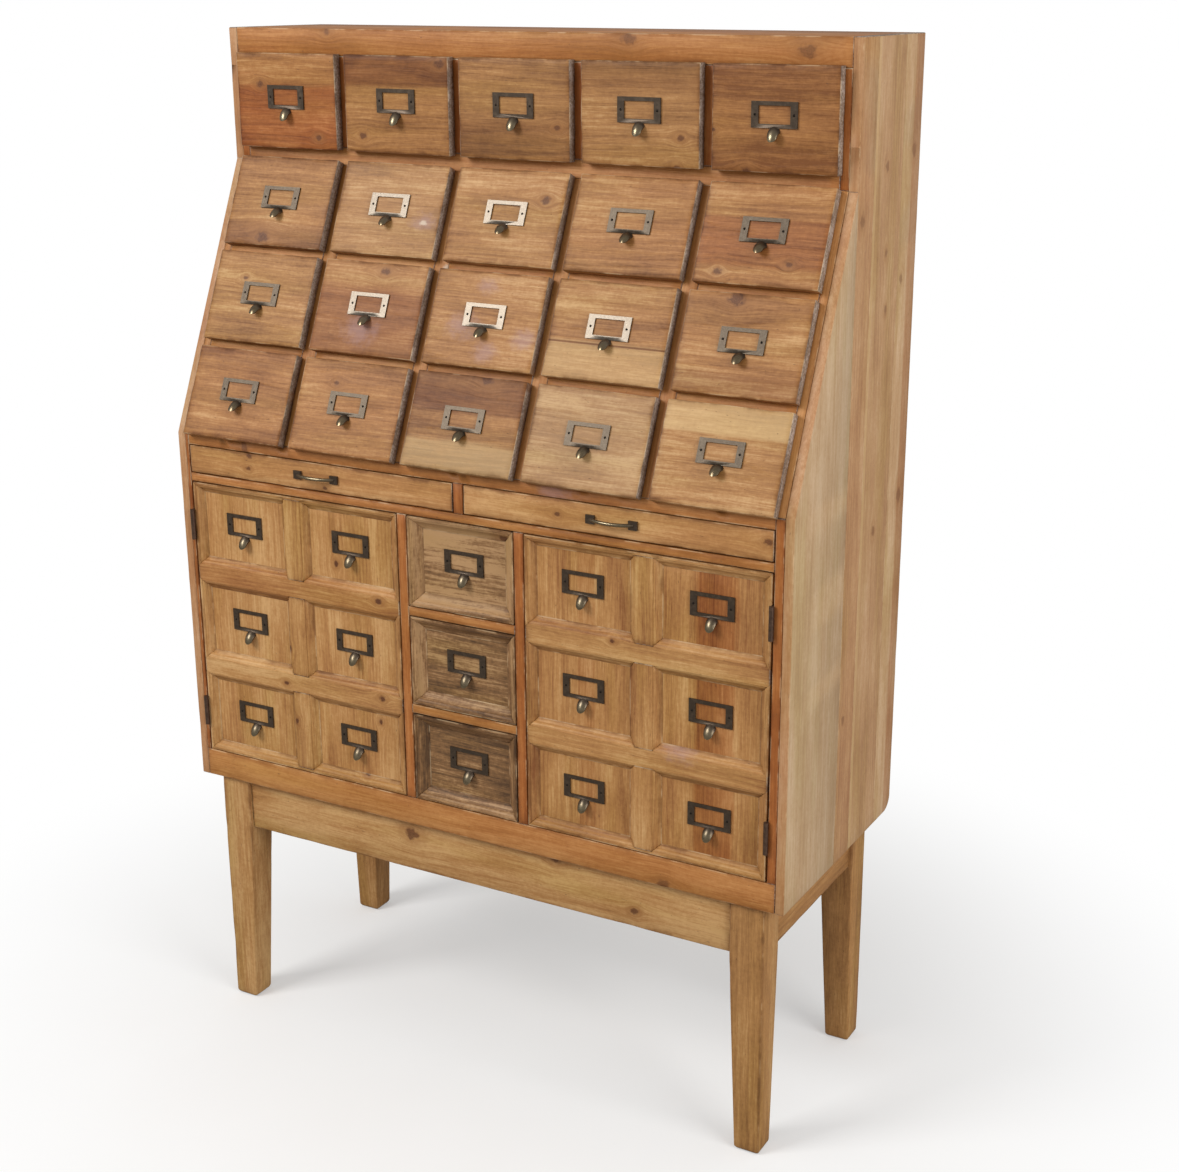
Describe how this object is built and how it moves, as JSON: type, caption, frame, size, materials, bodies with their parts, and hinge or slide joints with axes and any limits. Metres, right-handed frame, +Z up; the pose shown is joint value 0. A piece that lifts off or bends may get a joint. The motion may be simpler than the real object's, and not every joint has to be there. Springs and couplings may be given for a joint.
{
  "type": "multi-drawer storage cabinet",
  "caption": "Apothecary cabinet in reclaimed pine: sloping front of small label-holder drawers over shallow drawers, moulded centre drawers and panelled doors, on tapered legs.",
  "frame": {"origin": "on the floor under the middle of the whole cabinet", "axes": "+X along the front to the right, +Y from the front to the back, +Z up"},
  "size_m": [0.9, 0.3694, 1.3648],
  "materials": {
    "side_boards": "worn waxed pine boards",
    "inner_boards": "plain planed pine",
    "frame_wood": "waxed orange pine",
    "stand_wood": "waxed pine",
    "hinge_metal": "dark worn steel",
    "small_front_wood": "worn waxed reclaimed pine",
    "dark_wood": "dark waxed reclaimed pine",
    "shallow_front_wood": "waxed pine",
    "door_wood": "waxed pine",
    "dark_bronze": "dark antique bronze",
    "worn_bronze": "worn bronze with a pale sheen"
  },
  "bodies": {
    "case": {"side_panels": "side_boards", "carcass_boards": "inner_boards", "face_frame": "frame_wood", "legs": "stand_wood", "aprons": "stand_wood", "hinges": "hinge_metal"},
    "small_drawer_r1c1": {"drawer_r1c1": "small_front_wood", "pull_r1c1": "dark_bronze"},
    "small_drawer_r1c2": {"drawer_r1c2": "small_front_wood", "pull_r1c2": "dark_bronze"},
    "small_drawer_r1c3": {"drawer_r1c3": "small_front_wood", "pull_r1c3": "dark_bronze"},
    "small_drawer_r1c4": {"drawer_r1c4": "small_front_wood", "pull_r1c4": "dark_bronze"},
    "small_drawer_r1c5": {"drawer_r1c5": "small_front_wood", "pull_r1c5": "dark_bronze"},
    "small_drawer_r2c1": {"drawer_r2c1": "small_front_wood", "pull_r2c1": "worn_bronze"},
    "small_drawer_r2c2": {"drawer_r2c2": "small_front_wood", "pull_r2c2": "worn_bronze"},
    "small_drawer_r2c3": {"drawer_r2c3": "small_front_wood", "pull_r2c3": "worn_bronze"},
    "small_drawer_r2c4": {"drawer_r2c4": "small_front_wood", "pull_r2c4": "worn_bronze"},
    "small_drawer_r2c5": {"drawer_r2c5": "small_front_wood", "pull_r2c5": "worn_bronze"},
    "small_drawer_r3c1": {"drawer_r3c1": "small_front_wood", "pull_r3c1": "worn_bronze"},
    "small_drawer_r3c2": {"drawer_r3c2": "small_front_wood", "pull_r3c2": "worn_bronze"},
    "small_drawer_r3c3": {"drawer_r3c3": "small_front_wood", "pull_r3c3": "worn_bronze"},
    "small_drawer_r3c4": {"drawer_r3c4": "small_front_wood", "pull_r3c4": "worn_bronze"},
    "small_drawer_r3c5": {"drawer_r3c5": "small_front_wood", "pull_r3c5": "worn_bronze"},
    "small_drawer_r4c1": {"drawer_r4c1": "small_front_wood", "pull_r4c1": "worn_bronze"},
    "small_drawer_r4c2": {"drawer_r4c2": "small_front_wood", "pull_r4c2": "worn_bronze"},
    "small_drawer_r4c3": {"drawer_r4c3": "small_front_wood", "pull_r4c3": "worn_bronze"},
    "small_drawer_r4c4": {"drawer_r4c4": "small_front_wood", "pull_r4c4": "worn_bronze"},
    "small_drawer_r4c5": {"drawer_r4c5": "small_front_wood", "pull_r4c5": "worn_bronze"},
    "centre_top": {"centre_drawer_top": "dark_wood", "centre_pull_top": "dark_bronze"},
    "centre_middle": {"centre_drawer_middle": "dark_wood", "centre_pull_middle": "dark_bronze"},
    "centre_bottom": {"centre_drawer_bottom": "dark_wood", "centre_pull_bottom": "dark_bronze"},
    "shallow_left": {"shallow_drawer_left": "shallow_front_wood", "bow_handle_left": "dark_bronze"},
    "shallow_right": {"shallow_drawer_right": "shallow_front_wood", "bow_handle_right": "dark_bronze"},
    "door_leaf_left": {"door_left": "door_wood", "door_fittings_left": "dark_bronze"},
    "door_leaf_right": {"door_right": "door_wood", "door_fittings_right": "dark_bronze"}
  },
  "joints": [
    {"name": "slide_r1c1", "type": "slide", "parent": "case", "child": "small_drawer_r1c1", "axis": [0, -1, 0], "range_m": [0, 0.144]},
    {"name": "slide_r1c2", "type": "slide", "parent": "case", "child": "small_drawer_r1c2", "axis": [0, -1, 0], "range_m": [0, 0.144]},
    {"name": "slide_r1c3", "type": "slide", "parent": "case", "child": "small_drawer_r1c3", "axis": [0, -1, 0], "range_m": [0, 0.144]},
    {"name": "slide_r1c4", "type": "slide", "parent": "case", "child": "small_drawer_r1c4", "axis": [0, -1, 0], "range_m": [0, 0.144]},
    {"name": "slide_r1c5", "type": "slide", "parent": "case", "child": "small_drawer_r1c5", "axis": [0, -1, 0], "range_m": [0, 0.144]},
    {"name": "slide_r2c1", "type": "slide", "parent": "case", "child": "small_drawer_r2c1", "axis": [0, -1, 0], "range_m": [0, 0.1466]},
    {"name": "slide_r2c2", "type": "slide", "parent": "case", "child": "small_drawer_r2c2", "axis": [0, -1, 0], "range_m": [0, 0.1466]},
    {"name": "slide_r2c3", "type": "slide", "parent": "case", "child": "small_drawer_r2c3", "axis": [0, -1, 0], "range_m": [0, 0.1466]},
    {"name": "slide_r2c4", "type": "slide", "parent": "case", "child": "small_drawer_r2c4", "axis": [0, -1, 0], "range_m": [0, 0.1466]},
    {"name": "slide_r2c5", "type": "slide", "parent": "case", "child": "small_drawer_r2c5", "axis": [0, -1, 0], "range_m": [0, 0.1466]},
    {"name": "slide_r3c1", "type": "slide", "parent": "case", "child": "small_drawer_r3c1", "axis": [0, -1, 0], "range_m": [0, 0.2001]},
    {"name": "slide_r3c2", "type": "slide", "parent": "case", "child": "small_drawer_r3c2", "axis": [0, -1, 0], "range_m": [0, 0.2001]},
    {"name": "slide_r3c3", "type": "slide", "parent": "case", "child": "small_drawer_r3c3", "axis": [0, -1, 0], "range_m": [0, 0.2001]},
    {"name": "slide_r3c4", "type": "slide", "parent": "case", "child": "small_drawer_r3c4", "axis": [0, -1, 0], "range_m": [0, 0.2001]},
    {"name": "slide_r3c5", "type": "slide", "parent": "case", "child": "small_drawer_r3c5", "axis": [0, -1, 0], "range_m": [0, 0.2001]},
    {"name": "slide_r4c1", "type": "slide", "parent": "case", "child": "small_drawer_r4c1", "axis": [0, -1, 0], "range_m": [0, 0.2537]},
    {"name": "slide_r4c2", "type": "slide", "parent": "case", "child": "small_drawer_r4c2", "axis": [0, -1, 0], "range_m": [0, 0.2537]},
    {"name": "slide_r4c3", "type": "slide", "parent": "case", "child": "small_drawer_r4c3", "axis": [0, -1, 0], "range_m": [0, 0.2537]},
    {"name": "slide_r4c4", "type": "slide", "parent": "case", "child": "small_drawer_r4c4", "axis": [0, -1, 0], "range_m": [0, 0.2537]},
    {"name": "slide_r4c5", "type": "slide", "parent": "case", "child": "small_drawer_r4c5", "axis": [0, -1, 0], "range_m": [0, 0.2537]},
    {"name": "slide_centre_top", "type": "slide", "parent": "case", "child": "centre_top", "axis": [0, -1, 0], "range_m": [0, 0.282]},
    {"name": "slide_centre_middle", "type": "slide", "parent": "case", "child": "centre_middle", "axis": [0, -1, 0], "range_m": [0, 0.282]},
    {"name": "slide_centre_bottom", "type": "slide", "parent": "case", "child": "centre_bottom", "axis": [0, -1, 0], "range_m": [0, 0.282]},
    {"name": "slide_shallow_left", "type": "slide", "parent": "case", "child": "shallow_left", "axis": [0, -1, 0], "range_m": [0, 0.282]},
    {"name": "slide_shallow_right", "type": "slide", "parent": "case", "child": "shallow_right", "axis": [0, -1, 0], "range_m": [0, 0.282]},
    {"name": "hinge_door_left", "type": "hinge", "parent": "case", "child": "door_leaf_left", "pos_m": [-0.43135, -0.17469, 0.585], "axis": [0, 0, -1], "range_deg": [0, 110]},
    {"name": "hinge_door_right", "type": "hinge", "parent": "case", "child": "door_leaf_right", "pos_m": [0.42535, -0.17469, 0.585], "axis": [0, 0, 1], "range_deg": [0, 110]}
  ]
}
